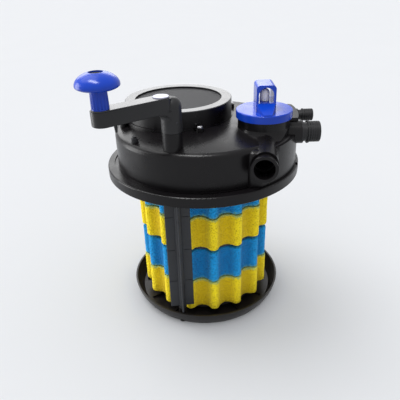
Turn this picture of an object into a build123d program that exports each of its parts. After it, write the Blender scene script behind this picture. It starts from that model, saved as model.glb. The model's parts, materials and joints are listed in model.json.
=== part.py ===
from build123d import *
import os
from math import atan2, cos, degrees, hypot, radians, sin

# Filter insert of a pond pressure filter: a tray, a stack of lobed foam rings that turn on a
# core, a finned roller that squeezes them, and a head that carries crank, dial and hose ports.
# Millimetres, +Z up. The origin is the centre of the tray's underside, on the foam's axis.

# ---- clearances ------------------------------------------------------------------------------
RUN = 0.05             # radial clearance of a shaft in its bush
TURN = 0.35            # gap between pieces that turn past each other
SEAT = 0.1             # gap between pieces that stay together
STACK_GAP = 0.5        # gap between neighbours in the foam stack

# ---- tray ------------------------------------------------------------------------------------
TRAY_HEIGHT = 27.0
TRAY_WALL = 3.0
TRAY_FLOOR = 4.0
TRAY_FLARE = 12.0      # how far the rim stands out past the foot
TRAY_MARGIN = 22.0     # from the foam's lobe tips out to the rim
SEAT_RING_HEIGHT = 8.0
SEAT_RING_WIDTH = 12.0
SPIGOT_WALL = 2.0
WASHER_THICKNESS = 1.6
TRAY_RIB_COUNT = 12
TRAY_RIB_THICKNESS = 2.0
TRAY_RIB_GAP = 8.0     # from a rib's outer end to the wall's foot
TRAY_BULGE = 0.32      # share of the flare still to come at mid height

# ---- foam stack and its core -----------------------------------------------------------------
FOAM_TIP_R = 118.0
FOAM_LOBE_DEPTH = 13.5
FOAM_LOBES = 16
LOBE_R = 9.0           # radius of a lobe's round tip
FOAM_HEIGHT = 61.0
BLUE_INSET = 1.2       # the blue rings are this much smaller all round
PLATE_THICKNESS = 6.0
CLAMP_THICKNESS = 5.0
DIVIDER_THICKNESS = 3.2
PLATE_INSET = 4.0      # plates end this far inside the valleys between lobes
CORE_R = 42.0
CORE_WALL = 4.0
CENTRE_TUBE_R = 32.0
CENTRE_TUBE_WALL = 3.0
SLOT_WIDTH = 7.0
SLOT_LAND = 9.0        # solid wall left above and below each row of slots
PLATE_HOLE_R = 7.0
SPIDER_CLEARANCE = 2.0 # above the clamp plate, which turns
SPIDER_WIDTH = 7.0     # upper bearing's outer ring, radially
SPIDER_HEIGHT = 6.0
SPIDER_ARM = 12.0
SPIDER_HUB_WALL = 4.0
SPIDER_HUB_HEIGHT = 10.0

# ---- squeeze roller --------------------------------------------------------------------------
ROLLER_R = 20.5
ROLLER_FINS = 4
FIN_THICKNESS = 3.0
MESH_CLEARANCE = 1.0   # from a fin's tip to the bottom of a valley
ROLLER_BEARING = 250.0     # compass bearing of the roller about the foam's axis, degrees from +X
ROLLER_PHASE = 26.0    # turn of the fins from the line of centres at rest
ROLLER_HUB_WALL = 2.0
ROLLER_LIFT = 9.0      # roller's lower end above the tray's rim
ROLLER_DROP = 4.0      # roller's upper end below the flange
SEAM_HEIGHT = 1.6      # grooves that divide the fins into panels
SEAM_DEPTH = 0.8
SEAM_STEP = 63.0
SHAFT_R = 4.0
BUSH_WALL = 1.2
BUSH_FLANGE = 1.6
BUSH_SINK = 2.2        # how far the upper bush's flange sits below the boss's top
SEAL_HEIGHT = 4.0
PIVOT_DEPTH = 10.0

# ---- head ------------------------------------------------------------------------------------
FLANGE_MARGIN = 47.0   # from the foam's lobe tips out to the flange's edge
FLANGE_THICKNESS = 17.0
FLANGE_OVERLAP = 13.0  # how far the foam stack rises past the flange's underside
DOME_INSET = 18.0      # from the flange's edge in to the dome's wall
DOME_RISE = 58.5       # from the flange's top to the dome's shoulder
DOME_CROWN = 12.0      # from the shoulder to the top of the dome
SHOULDER_R = 9.0
HEAD_WALL = 4.0
GROOVE_WIDTH = 6.0     # groove in the flange's top, round the dome
GROOVE_DEPTH = 2.0
SEAL_MARGIN = 6.0      # from the dome's wall out to the seal's groove
SEAL_WIDTH = 6.0
SEAL_DEPTH = 3.0
SEAL_PROUD = 1.0
NOTCH_BEARING = -17.5
NOTCH_WIDTH = 10.0
NOTCH_DEPTH = 4.0
VENT_BEARING = 220.7
VENT_R = 5.0
VENT_RISE = 2.8        # its seat above the shoulder
VENT_HEIGHT = 6.0
BOSS_R = 15.2
BOSS_HEIGHT = 28.0     # shaft boss above the shoulder
BOSS_DROP = 22.0       # its lower end below the shoulder, inside
SEAL_DROP = 14.0       # shaft seal below the shoulder

# ---- drum that covers the lamp's connections -------------------------------------------------
DRUM_X = -39.0
DRUM_Y = 23.0
DRUM_R = 91.0
DRUM_RISE = 40.2       # drum's top above the dome's shoulder
DRUM_WALL = 4.0
DRUM_RIM_WIDTH = 17.0
DRUM_RECESS = 1.8
COVER_PLATE = 3.0
TRIM_THICKNESS = 1.3
LUG_R = 6.5
LUG_THICKNESS = 4.0
LUG_REACH = 7.8        # screw's centre outside the drum's wall
DRUM_SCREWS = 4
DRUM_SCREW_BEARING = -68.7
SCREW_HEAD_R = 4.2
SCREW_HEAD_HEIGHT = 2.6
SCREW_R = 2.4
SCREW_LENGTH = 9.0

# ---- lamp ------------------------------------------------------------------------------------
QUARTZ_R = 15.0
QUARTZ_WALL = 1.6
LAMP_R = 8.0
LAMP_FOOT = 14.0       # lamp's lower end above the sleeve's closed end
HOLDER_R = 25.0
HOLDER_HEIGHT = 16.0
QUARTZ_FOOT = 34.0     # sleeve's closed end above the tray floor
BALLAST_LENGTH = 78.0
BALLAST_WIDTH = 30.0
BALLAST_HEIGHT = 20.0
GLAND_R = 8.0
GLAND_LENGTH = 17.0
GLAND_BORE_R = 3.6
GLAND_BEARING = 118.0
GLAND_RISE = 13.0      # gland's axis above the drum's foot
HOLDER_NECK = 7.0      # holder's neck is this much thinner than its flange
HOLDER_FLANGE = 5.0
NUT_HEIGHT = 7.0
NUT_MARGIN = 4.0
BALLAST_OFFSET = 52.0  # from the drum's centre
BALLAST_BEARING = 150.0

# ---- crank and its knob ----------------------------------------------------------------------
CRANK_RADIUS = 104.0
CRANK_BEARING = 215.0
ARM_WIDTH = 28.0
ARM_THICKNESS = 20.4
ARM_LIFT = 52.6        # arm's top above the sleeve's foot
ARM_START = 15.0       # arm's round inner end, from the pivot
COVER_THICKNESS = 1.4
COVER_INSET = 1.6
COVER_BED = 0.6        # how deep the cover sits in the arm
CAP_R = 11.5
CAP_THICKNESS = 1.3
SLEEVE_R = 15.2
SLEEVE_HEIGHT = 50.2
SLEEVE_ROUND = 12.5    # rounding of the elbow where the sleeve meets the arm
SLEEVE_GAP = 0.5
SLEEVE_ROOF = 8.0      # solid top over the shaft's end
FLARE_REACH = 13.0     # flare under the arm's root, along the arm
FLARE_DROP = 15.0
PIN_R = 1.6
PIN_HEIGHT = 16.0
PEG_DISTANCE = 84.0
PEG_LENGTH = 15.0
PEG_R = 3.2
SPINDLE_R = 4.0
SPINDLE_FLOOR = 5.0    # arm left under the spindle
SPINDLE_HEAD_R = 6.0
SPINDLE_HEAD = 2.0
KNOB_STEM_R = 11.8
KNOB_STEM_HEIGHT = 23.0
KNOB_R = 28.7
KNOB_HEIGHT = 24.5     # mushroom, from its underside to its top
KNOB_BELLY = 7.5       # its widest height above the underside
KNOB_FLUTES = 16
FLUTE_R = 1.1
PLUG_R = 9.5
PLUG_SINK = 3.0        # plug below the mushroom's top
PLUG_BED = 9.0

# ---- valve, dial and ports -------------------------------------------------------------------
VALVE_BEARING = -24.4
VALVE_INSET = 38.3     # valve's axis inside the dome's wall
ROTOR_R = 37.0
ROTOR_LAND = 3.0       # rotor above and below its bores
CHANNEL_R = 12.0
CHAMBER_WALL = 4.0
NECK_RISE = 23.0       # neck above the shoulder
NECK_FLARE = 15.0      # how far its foot spreads over the head
NECK_FOOT_DROP = 5.0
FLARE_MARGIN = 1.0     # flare stops this far inside the housing's rounded edge
FLARE_BEND = 0.27      # how hollow the flares' curves are; 0.5 is straight
STEM_R = 7.0
DIAL_R = 44.5
DIAL_THICKNESS = 12.0
DIAL_SKIRT_WALL = 2.5
DIAL_GAP = 1.0
GRIP_WIDTH = 30.0
GRIP_LENGTH = 39.0
GRIP_HEIGHT = 41.0
GRIP_WALL = 3.6
GRIP_NOSE_WIDTH = 13.0
GRIP_NOSE_RISE = 14.0
LENS_R = 7.5
LENS_HEIGHT = 11.0     # upright part, under its round top
HOUSING_LEFT = 66.0
HOUSING_FRONT_INSET = 13.0     # housing's flat front, from the dome's furthest reach
HOUSING_BACK = 34.0
HOUSING_INSET = 5.0    # housing's round outer wall inside the flange's edge
HOUSING_DROP = 2.0     # housing's top below the shoulder
HOUSING_CORNER = 6.0
HOUSING_EDGE = 9.0     # rounding of its upper edges
DUCT_WALL = 3.0
DUCT_STEP = 1.0        # inner ways are this much narrower in radius than their ports' bores
FAIRING_TILT = 11.0    # slope of the ridge from the neck down to the front port
TOWER_RISE = 19.0      # rear part of the housing above the shoulder
FRONT_BORE_R = 15.7
FRONT_WALL = 2.6
FRONT_COLLAR = 1.8
FRONT_REACH = 15.0
PORT_ROOT = 9.0        # length of a port's spigot inside the wall
FRONT_Z = 35.0         # port's axis above the flange's top
FRONT_SWING = 6.0      # turn of the front port from -Y, towards -X
FRONT_ROOT = 17.0      # length of the socket inside the wall
SIDE_BORE_R = 13.0
SIDE_WALL = 2.3
SIDE_COLLAR = 3.0
PAD_RISE = 1.0         # side port's pad proud of the round wall
SIDE_REACH = 30.0
SIDE_Z = 54.0
DRAIN_BORE_R = 6.5
DRAIN_WALL = 2.2
DRAIN_REACH = 28.0
DRAIN_Z = 66.5
DRAIN_Y = 5.0
TAIL_RING_START = 9.5  # ring round a tail, from its foot
TAIL_RING_WIDTH = 2.4
TAIL_END_START = 14.0  # thicker ribbed end
TAIL_END_RISE = 1.4
RIDGE_STEP = 3.6
RIDGE_GAP = 1.3
RIDGE_DEPTH = 0.9

# ---- places that follow from the sizes above -------------------------------------------------
TRAY_RIM_R = FOAM_TIP_R + TRAY_MARGIN
TRAY_FOOT_R = TRAY_RIM_R - TRAY_FLARE
FOAM_ROOT_R = FOAM_TIP_R - FOAM_LOBE_DEPTH
PLATE_R = FOAM_ROOT_R - PLATE_INSET
SPIGOT_BORE_R = CENTRE_TUBE_R + SEAT
SPIGOT_R = SPIGOT_BORE_R + SPIGOT_WALL
PLATE_BORE_R = SPIGOT_R + TURN
SEAT_RING_R = SPIGOT_R + SEAT_RING_WIDTH
Z_SEAT = TRAY_FLOOR + SEAT_RING_HEIGHT
Z_PLATE = Z_SEAT + WASHER_THICKNESS + RUN
Z_FOAM_1 = Z_PLATE + PLATE_THICKNESS
Z_FOAM_2 = Z_FOAM_1 + FOAM_HEIGHT + STACK_GAP
Z_DIVIDER = Z_FOAM_2 + FOAM_HEIGHT
Z_FOAM_3 = Z_DIVIDER + DIVIDER_THICKNESS + STACK_GAP
Z_FOAM_4 = Z_FOAM_3 + FOAM_HEIGHT + STACK_GAP
Z_CLAMP = Z_FOAM_4 + FOAM_HEIGHT
Z_CLAMP_TOP = Z_CLAMP + CLAMP_THICKNESS
Z_FLANGE = Z_CLAMP - FLANGE_OVERLAP
Z_FLANGE_TOP = Z_FLANGE + FLANGE_THICKNESS
FLANGE_R = FOAM_TIP_R + FLANGE_MARGIN
DOME_R = FLANGE_R - DOME_INSET
Z_SHOULDER = Z_FLANGE_TOP + DOME_RISE
Z_CROWN = Z_SHOULDER + DOME_CROWN

ROLLER_AXIS_R = FOAM_ROOT_R + MESH_CLEARANCE + ROLLER_R
ROLLER_X = ROLLER_AXIS_R * cos(radians(ROLLER_BEARING))
ROLLER_Y = ROLLER_AXIS_R * sin(radians(ROLLER_BEARING))
ROLLER_HUB_R = SHAFT_R + ROLLER_HUB_WALL
Z_ROLLER = TRAY_HEIGHT + ROLLER_LIFT
Z_ROLLER_TOP = Z_FLANGE - ROLLER_DROP
BUSH_R = SHAFT_R + RUN + BUSH_WALL
PIVOT_BOSS_R = ROLLER_AXIS_R - FOAM_TIP_R - MESH_CLEARANCE
Z_PIVOT_BOSS = Z_ROLLER - BUSH_FLANGE - TURN * 4
VALLEY_BEARING = ROLLER_BEARING - ROLLER_PHASE * ROLLER_FINS / FOAM_LOBES
FIN_BEARING = ROLLER_BEARING + 180 + ROLLER_PHASE

Z_BOSS = Z_SHOULDER + BOSS_HEIGHT
Z_SLEEVE = Z_BOSS + SLEEVE_GAP
Z_SHAFT_SEAL = Z_SHOULDER - SEAL_DROP
Z_ARM_TOP = Z_SLEEVE + ARM_LIFT - COVER_THICKNESS
Z_ARM = Z_ARM_TOP - ARM_THICKNESS
Z_COVER_TOP = Z_ARM_TOP + COVER_THICKNESS
KNOB_X = ROLLER_X + CRANK_RADIUS * cos(radians(CRANK_BEARING))
KNOB_Y = ROLLER_Y + CRANK_RADIUS * sin(radians(CRANK_BEARING))
Z_KNOB = Z_COVER_TOP + TURN
Z_KNOB_CAP = Z_KNOB + KNOB_STEM_HEIGHT
Z_KNOB_TOP = Z_KNOB_CAP + KNOB_HEIGHT

Z_DRUM = Z_CROWN - SEAT
Z_DRUM_TOP = Z_SHOULDER + DRUM_RISE
DRUM_RECESS_R = DRUM_R - DRUM_RIM_WIDTH
GLAND_Z = Z_DRUM + GLAND_RISE
HOLDER_SPIGOT_R = HOLDER_R - HOLDER_NECK + 1
HOLDER_NECK_R = HOLDER_R - HOLDER_NECK
DRUM_SCREW_CIRCLE = DRUM_R + LUG_REACH

VALVE_R = DOME_R - VALVE_INSET
VALVE_X = VALVE_R * cos(radians(VALVE_BEARING))
VALVE_Y = VALVE_R * sin(radians(VALVE_BEARING))
CHAMBER_R = ROTOR_R + TURN
NECK_R = CHAMBER_R + CHAMBER_WALL
FRONT_DUCT_R = FRONT_BORE_R + FRONT_WALL + SEAT + DUCT_WALL
Z_FRONT = Z_FLANGE_TOP + FRONT_Z
Z_SIDE = Z_FLANGE_TOP + SIDE_Z
Z_DRAIN = Z_FLANGE_TOP + DRAIN_Z
Z_ROTOR = Z_FRONT - FRONT_BORE_R - ROTOR_LAND
Z_ROTOR_TOP = Z_SIDE + SIDE_BORE_R + ROTOR_LAND
Z_NECK = Z_SHOULDER + NECK_RISE
Z_DIAL = Z_NECK + DIAL_GAP
Z_DIAL_TOP = Z_DIAL + DIAL_THICKNESS
HOUSING_R = FLANGE_R - HOUSING_INSET
HOUSING_FRONT = DOME_R - HOUSING_FRONT_INSET
Z_HOUSING = Z_SHOULDER - HOUSING_DROP
Z_TOWER = Z_SHOULDER + TOWER_RISE
Z_VENT = Z_SHOULDER + VENT_RISE
SIDE_PAD_R = SIDE_BORE_R + SIDE_WALL + SIDE_COLLAR
SIDE_FACE = (HOUSING_R ** 2 - (abs(VALVE_Y) - SIDE_PAD_R) ** 2) ** 0.5 + PAD_RISE

BASE = (Align.CENTER, Align.CENTER, Align.MIN)


# ---- shared shapes ---------------------------------------------------------------------------
def post(radius, z0, z1, x=0.0, y=0.0):
    """Upright cylinder from z0 to z1."""
    return Pos(x, y, z0) * Cylinder(radius, z1 - z0, align=BASE)


def pipe(outer, inner, z0, z1, x=0.0, y=0.0):
    """Upright tube from z0 to z1."""
    return post(outer, z0, z1, x, y) - post(inner, z0 - 1, z1 + 1, x, y)


def at_bearing(radius, bearing, x=0.0, y=0.0):
    """Point at a distance and bearing from (x, y)."""
    return (x + radius * cos(radians(bearing)), y + radius * sin(radians(bearing)))


def rim_edges(solid, z, radius):
    """Circular edges of a given radius at a given height."""
    return solid.edges().filter_by(GeomType.CIRCLE).filter_by(
        lambda e: abs(e.radius - radius) < 0.01 and abs(e.center().Z - z) < 0.01)


def slotted(solid, radius, z0, z1, rows, count):
    """Cut rows of upright slots through a tube's wall."""
    pitch = (z1 - z0) / rows
    height = pitch - SLOT_LAND
    for row in range(rows):
        z = z0 + pitch * row + SLOT_LAND / 2
        for turn in range(count // 2):
            cut = Pos(0, 0, z) * Box(radius * 2 + 4, SLOT_WIDTH, height, align=BASE)
            solid -= Rot(0, 0, 360 / count * turn) * cut
    return solid


def drilled_plate(outer, inner, z, thickness):
    """Round plate with two rings of drain holes."""
    plate = pipe(outer, inner, z, z + thickness)
    for ring, count in ((0.33, 12), (0.72, 16)):
        radius = CORE_R + (outer - CORE_R) * ring
        for i in range(count):
            x, y = at_bearing(radius, 360 / count * i)
            plate -= post(PLATE_HOLE_R, z - 1, z + thickness + 1, x, y)
    return plate


# ---- tray and pivot --------------------------------------------------------------------------
def flared_solid(foot, rim, z0):
    """Solid from z0 to the tray's rim, with a wall that flares outward in an arc."""
    middle = (rim - TRAY_FLARE * TRAY_BULGE, (z0 + TRAY_HEIGHT) / 2)
    flare = ThreePointArc((foot, z0), middle, (rim, TRAY_HEIGHT))
    outline = Line((0, z0), (foot, z0)) + flare + Polyline((rim, TRAY_HEIGHT), (0, TRAY_HEIGHT), (0, z0))
    return revolve(make_face(Plane.XZ * outline), Axis.Z)


def base_tray():
    envelope = flared_solid(TRAY_FOOT_R, TRAY_RIM_R, 0)
    tray = envelope - flared_solid(TRAY_FOOT_R - TRAY_WALL, TRAY_RIM_R - TRAY_WALL, TRAY_FLOOR)
    tray += pipe(SEAT_RING_R, SPIGOT_BORE_R, TRAY_FLOOR - 1, Z_SEAT)
    tray += pipe(SPIGOT_R, SPIGOT_BORE_R, TRAY_FLOOR - 1, Z_FOAM_1 - STACK_GAP)
    for i in range(TRAY_RIB_COUNT):
        rib = Box(TRAY_FOOT_R - SEAT_RING_R - TRAY_RIB_GAP, TRAY_RIB_THICKNESS, SEAT_RING_HEIGHT / 2,
                  align=(Align.MIN, Align.CENTER, Align.MIN))
        tray += Rot(0, 0, 360 / TRAY_RIB_COUNT * i) * Pos(SEAT_RING_R - 1, 0, TRAY_FLOOR - 0.5) * rib
    tray += post(PIVOT_BOSS_R, TRAY_FLOOR - 1, Z_PIVOT_BOSS, ROLLER_X, ROLLER_Y)
    tray -= post(BUSH_R + SEAT, Z_PIVOT_BOSS - PIVOT_DEPTH, Z_PIVOT_BOSS + 1, ROLLER_X, ROLLER_Y)
    return tray


def pivot_bush(z_top, depth):
    """Flanged plastic bush whose flange sits on z_top."""
    bush = pipe(BUSH_R, SHAFT_R + RUN, z_top - depth + SEAT, z_top + BUSH_FLANGE / 2, ROLLER_X, ROLLER_Y)
    return bush + pipe(PIVOT_BOSS_R, SHAFT_R + RUN, z_top, z_top + BUSH_FLANGE, ROLLER_X, ROLLER_Y)


# ---- foam stack ------------------------------------------------------------------------------
def foam_ring(z, inset):
    """Lobed foam ring: round lobes and round valleys that meet in tangent arcs."""
    half = 180 / FOAM_LOBES
    tip, root = FOAM_TIP_R - inset, FOAM_ROOT_R - inset
    far = tip - LOBE_R
    near = far * cos(radians(half))
    valley_r = (2 * near * root - far ** 2 - root ** 2 + LOBE_R ** 2) / (2 * (root - LOBE_R - near))
    centre = at_bearing(root + valley_r, half)
    lean = atan2(centre[1], centre[0] - far)
    joint = (far + LOBE_R * cos(lean), LOBE_R * sin(lean))
    joint_r, joint_turn = hypot(*joint), degrees(atan2(joint[1], joint[0]))
    wave = []
    for i in range(FOAM_LOBES):
        lobe = VALLEY_BEARING + half * (2 * i + 1)
        valley = lobe + half
        wave.append(ThreePointArc(at_bearing(joint_r, lobe - joint_turn), at_bearing(tip, lobe),
                                  at_bearing(joint_r, lobe + joint_turn)))
        wave.append(ThreePointArc(at_bearing(joint_r, lobe + joint_turn), at_bearing(root, valley),
                                  at_bearing(joint_r, lobe + 2 * half - joint_turn)))
    ring = extrude(make_face(wave), FOAM_HEIGHT)
    return Pos(0, 0, z) * ring - post(CORE_R + SEAT, z - 1, z + FOAM_HEIGHT + 1)


def core_tube():
    core = pipe(CORE_R, CORE_R - CORE_WALL, Z_FOAM_1, Z_CLAMP - SEAT)
    return slotted(core, CORE_R, Z_FOAM_1, Z_CLAMP, 4, 8)


def centre_tube():
    top = Z_FLANGE_TOP + FLANGE_THICKNESS
    tube = pipe(CENTRE_TUBE_R, CENTRE_TUBE_R - CENTRE_TUBE_WALL, TRAY_FLOOR + SEAT, top)
    return slotted(tube, CENTRE_TUBE_R, Z_FOAM_1 + PLATE_THICKNESS, Z_FLANGE - PLATE_THICKNESS, 4, 6)


def bearing_spider():
    """Ring and three arms inside the head; its hub guides the clamp plate and the tube."""
    z = Z_CLAMP_TOP + SPIDER_CLEARANCE
    inner = DOME_R - HEAD_WALL - SEAT
    spider = pipe(SPIGOT_R, SPIGOT_BORE_R, Z_CLAMP + STACK_GAP, z + SPIDER_HUB_HEIGHT)
    spider += pipe(SPIGOT_R + SPIDER_HUB_WALL, SPIGOT_BORE_R, z, z + SPIDER_HUB_HEIGHT)
    spider += pipe(inner, inner - SPIDER_WIDTH, z, z + SPIDER_HEIGHT)
    for bearing in (60, 180, 300):
        arm = Box(inner - SPIGOT_R - SPIDER_WIDTH / 2, SPIDER_ARM, SPIDER_HEIGHT,
                  align=(Align.MIN, Align.CENTER, Align.MIN))
        spider += Rot(0, 0, bearing) * Pos(SPIGOT_R + 1, 0, z) * arm
    return spider


# ---- squeeze roller --------------------------------------------------------------------------
def roller_fin(bearing):
    """One fin along +X turned to its bearing, with grooves across both faces."""
    section = Pos(ROLLER_R / 2, 0) * SlotOverall(ROLLER_R, FIN_THICKNESS)
    fin = Pos(0, 0, Z_ROLLER) * extrude(section, Z_ROLLER_TOP - Z_ROLLER)
    inner = ROLLER_HUB_R + SEAM_DEPTH
    length = ROLLER_R + 1 - inner
    z = TRAY_HEIGHT + SEAM_STEP
    while z < Z_ROLLER_TOP - SEAM_HEIGHT:
        for side in (-1, 1):
            groove = Box(length, SEAM_DEPTH * 2, SEAM_HEIGHT)
            fin -= Pos(inner + length / 2, side * FIN_THICKNESS / 2, z + SEAM_HEIGHT / 2) * groove
        z += SEAM_STEP
    return Rot(0, 0, bearing) * fin


def squeeze_roller():
    roller = post(ROLLER_HUB_R, Z_ROLLER, Z_ROLLER_TOP)
    for i in range(ROLLER_FINS):
        roller += roller_fin(FIN_BEARING + 360 / ROLLER_FINS * i)
    roller -= post(SHAFT_R + RUN, Z_ROLLER - 1, Z_ROLLER_TOP + 1)
    return Pos(ROLLER_X, ROLLER_Y, 0) * roller


def roller_shaft():
    low = Z_PIVOT_BOSS - PIVOT_DEPTH + 1
    return post(SHAFT_R, low, Z_SLEEVE + SLEEVE_HEIGHT - SLEEVE_ROOF, ROLLER_X, ROLLER_Y)


# ---- head ------------------------------------------------------------------------------------
def dome(radius, foot, shoulder, crown):
    """Closed dome with an upright wall and a gently crowned top."""
    middle = (radius * 0.55, shoulder + (crown - shoulder) * 0.68)
    top = ThreePointArc((radius, shoulder), middle, (0, crown))
    outline = Polyline((0, crown), (0, foot), (radius, foot), (radius, shoulder)) + top
    return revolve(make_face(Plane.XZ * outline), Axis.Z)


def housing(inset, z0, z1, left, back):
    """Valve housing: a block beside the dome, with a round outer wall."""
    width = FLANGE_R * 2
    depth = HOUSING_FRONT + back
    block = Pos(left + inset + width / 2, (back - HOUSING_FRONT) / 2) * Rectangle(width, depth - inset * 2)
    outline = block & Circle(HOUSING_R - inset)
    return Pos(0, 0, z0) * extrude(fillet(outline.vertices(), HOUSING_CORNER - inset), z1 - z0)


def aimed(shape, x, y, z, bearing):
    """Put a shape drawn along +X at a point, facing a bearing."""
    return Pos(x, y, z) * Rot(0, 0, bearing) * shape


def rod(radius, start, end):
    """Level cylinder along +X."""
    return Pos(start, 0, 0) * Rot(0, 90, 0) * Cylinder(radius, end - start, align=BASE)


def front_reach():
    """Distance from the valve's axis to the front port's mouth."""
    return (HOUSING_FRONT + FRONT_REACH + VALVE_Y) / cos(radians(FRONT_SWING))


def side_face(y):
    """X of the housing's round wall at a given Y."""
    return (HOUSING_R ** 2 - y ** 2) ** 0.5


def front_way(radius, start, end):
    """Level cylinder on the front port's axis, from start to end out from the valve's axis."""
    return aimed(rod(radius, start, end), VALVE_X, VALVE_Y, Z_FRONT, 270 - FRONT_SWING)


def side_way(radius, start, end):
    """Level cylinder on the side port's axis, from x = start to x = end."""
    return Pos(0, VALVE_Y, Z_SIDE) * rod(radius, start, end)


def drain_way(radius, start, end):
    """Level cylinder on the drain port's axis, from x = start to x = end."""
    return Pos(0, DRAIN_Y, Z_DRAIN) * rod(radius, start, end)


def neck_flare():
    """Neck whose foot spreads over the head in a hollow curve, trimmed at the housing's wall."""
    foot = Z_SHOULDER - NECK_FOOT_DROP
    far = NECK_R + NECK_FLARE
    middle = (NECK_R + NECK_FLARE * FLARE_BEND, foot + (Z_NECK - foot) * FLARE_BEND)
    curve = ThreePointArc((far, foot), middle, (NECK_R, Z_NECK))
    outline = Polyline((NECK_R, Z_NECK), (0, Z_NECK), (0, foot), (far, foot)) + curve
    flare = Pos(VALVE_X, VALVE_Y, 0) * revolve(make_face(Plane.XZ * outline), Axis.Z)
    return flare & post(HOUSING_R - HOUSING_EDGE - FLARE_MARGIN, foot - 1, Z_NECK + 1)


def fairing():
    """Sloping ridge that covers the way from the valve down to the front port."""
    length = (HOUSING_FRONT + VALVE_Y) / cos(radians(FRONT_SWING))
    rise = length * sin(radians(FAIRING_TILT)) / cos(radians(FAIRING_TILT))
    ridge = Rot(0, FAIRING_TILT, 0) * rod(FRONT_DUCT_R, 0, length * 2)
    ridge = aimed(ridge, VALVE_X, VALVE_Y, Z_FRONT + rise, 270 - FRONT_SWING)
    room = Pos(VALVE_X, VALVE_Y, Z_FLANGE_TOP) * Box(FLANGE_R, HOUSING_FRONT + VALVE_Y, NECK_R * 3,
                                                  align=(Align.CENTER, Align.MAX, Align.MIN))
    return ridge & room


def drum_screw_points():
    return [at_bearing(DRUM_SCREW_CIRCLE, DRUM_SCREW_BEARING + 360 / DRUM_SCREWS * i, DRUM_X, DRUM_Y)
            for i in range(DRUM_SCREWS)]


def vent_point():
    return at_bearing(DOME_R - SHOULDER_R - 2, VENT_BEARING)


def head_outside():
    body = dome(DOME_R, Z_FLANGE, Z_SHOULDER, Z_CROWN)
    body = fillet(rim_edges(body, Z_SHOULDER, DOME_R), SHOULDER_R)
    flange = post(FLANGE_R, Z_FLANGE, Z_FLANGE_TOP)
    flange = fillet(rim_edges(flange, Z_FLANGE_TOP, FLANGE_R), 2.5)
    flange = chamfer(rim_edges(flange, Z_FLANGE, FLANGE_R), 1.0)
    flange -= pipe(DOME_R + 1 + GROOVE_WIDTH, DOME_R + 1, Z_FLANGE_TOP - GROOVE_DEPTH, Z_FLANGE_TOP + 1)
    notch = Pos(FLANGE_R, 0, Z_FLANGE_TOP) * Box(NOTCH_DEPTH * 2, NOTCH_WIDTH, FLANGE_THICKNESS)
    flange -= Rot(0, 0, NOTCH_BEARING) * notch
    block = housing(0, Z_FLANGE + 1, Z_HOUSING, HOUSING_LEFT, HOUSING_BACK)
    block = fillet(block.faces().sort_by(Axis.Z)[-1].edges(), HOUSING_EDGE)
    neck = neck_flare()
    tower = housing(0, Z_FLANGE_TOP, Z_TOWER, VALVE_X + 6, HOUSING_BACK)
    tower -= Pos(0, VALVE_Y, Z_HOUSING - 1) * Box(FLANGE_R * 2, HOUSING_FRONT * 2, TOWER_RISE * 2,
                                                 align=(Align.MIN, Align.MAX, Align.MIN))
    body += flange + block + neck + tower + fairing()
    body += post(BOSS_R, Z_FLANGE_TOP, Z_BOSS, ROLLER_X, ROLLER_Y)
    body += post(DRUM_R + 1.5, Z_FLANGE_TOP, Z_DRUM, DRUM_X, DRUM_Y)
    body += post(VENT_R + 1, Z_FLANGE_TOP, Z_VENT - SEAT, *vent_point())
    body += side_way(SIDE_PAD_R, VALVE_X, SIDE_FACE - SEAT)
    for x, y in drum_screw_points():
        body += post(LUG_R, Z_FLANGE_TOP, Z_DRUM, x, y)
    return body


def head_shell():
    ceiling = Z_CROWN - HEAD_WALL
    shell = head_outside()
    shell -= dome(DOME_R - HEAD_WALL, Z_FLANGE - 1, Z_SHOULDER - HEAD_WALL, ceiling)
    shell -= housing(HEAD_WALL, Z_FLANGE - 1, Z_HOUSING - HEAD_WALL, HOUSING_LEFT, HOUSING_BACK)
    floor = Z_ROTOR - CHAMBER_WALL - TURN
    shell += post(NECK_R, floor, Z_NECK, VALVE_X, VALVE_Y)
    shell += post(BOSS_R, Z_SHOULDER - BOSS_DROP, Z_SHOULDER, ROLLER_X, ROLLER_Y)
    shell += front_way(FRONT_DUCT_R, CHAMBER_R, front_reach() - FRONT_REACH - 1)
    shell += side_way(SIDE_PAD_R, VALVE_X + CHAMBER_R, SIDE_FACE - SEAT)
    shell -= post(CHAMBER_R, Z_ROTOR - TURN, Z_NECK + 1, VALVE_X, VALVE_Y)
    shell -= post(CHANNEL_R, floor - 1, Z_ROTOR, VALVE_X, VALVE_Y)
    shell -= post(BUSH_R + SEAT, Z_SHAFT_SEAL, Z_BOSS + 1, ROLLER_X, ROLLER_Y)
    shell -= post(PIVOT_BOSS_R + SEAT, Z_BOSS - BUSH_SINK, Z_BOSS + 1, ROLLER_X, ROLLER_Y)
    shell -= post(SHAFT_R + TURN, Z_FLANGE, Z_SHOULDER, ROLLER_X, ROLLER_Y)
    shell -= front_way(FRONT_BORE_R - DUCT_STEP, 0, front_reach())
    root = front_reach() - FRONT_REACH - FRONT_ROOT - SEAT
    shell -= front_way(FRONT_BORE_R + FRONT_WALL + SEAT, root, front_reach())
    shell -= side_way(SIDE_BORE_R - DUCT_STEP, VALVE_X, FLANGE_R)
    shell -= side_way(SIDE_BORE_R + SIDE_WALL + SEAT, SIDE_FACE - PORT_ROOT - SEAT, FLANGE_R)
    shell -= drain_way(DRAIN_BORE_R + DRAIN_WALL + SEAT, side_face(DRAIN_Y) - PORT_ROOT - SEAT, FLANGE_R)
    shell -= post(HOLDER_SPIGOT_R + SEAT, ceiling - 2 * HEAD_WALL, Z_CROWN + 1)
    shell -= seal_ring(0, Z_FLANGE - 1, Z_FLANGE + SEAL_DEPTH)
    for x, y in drum_screw_points():
        shell -= post(SCREW_R, Z_DRUM - SCREW_LENGTH, Z_DRUM + 1, x, y)
    shell -= post(SCREW_R, Z_VENT - SCREW_LENGTH - 1, Z_CROWN + 1, *vent_point())
    return shell


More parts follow.
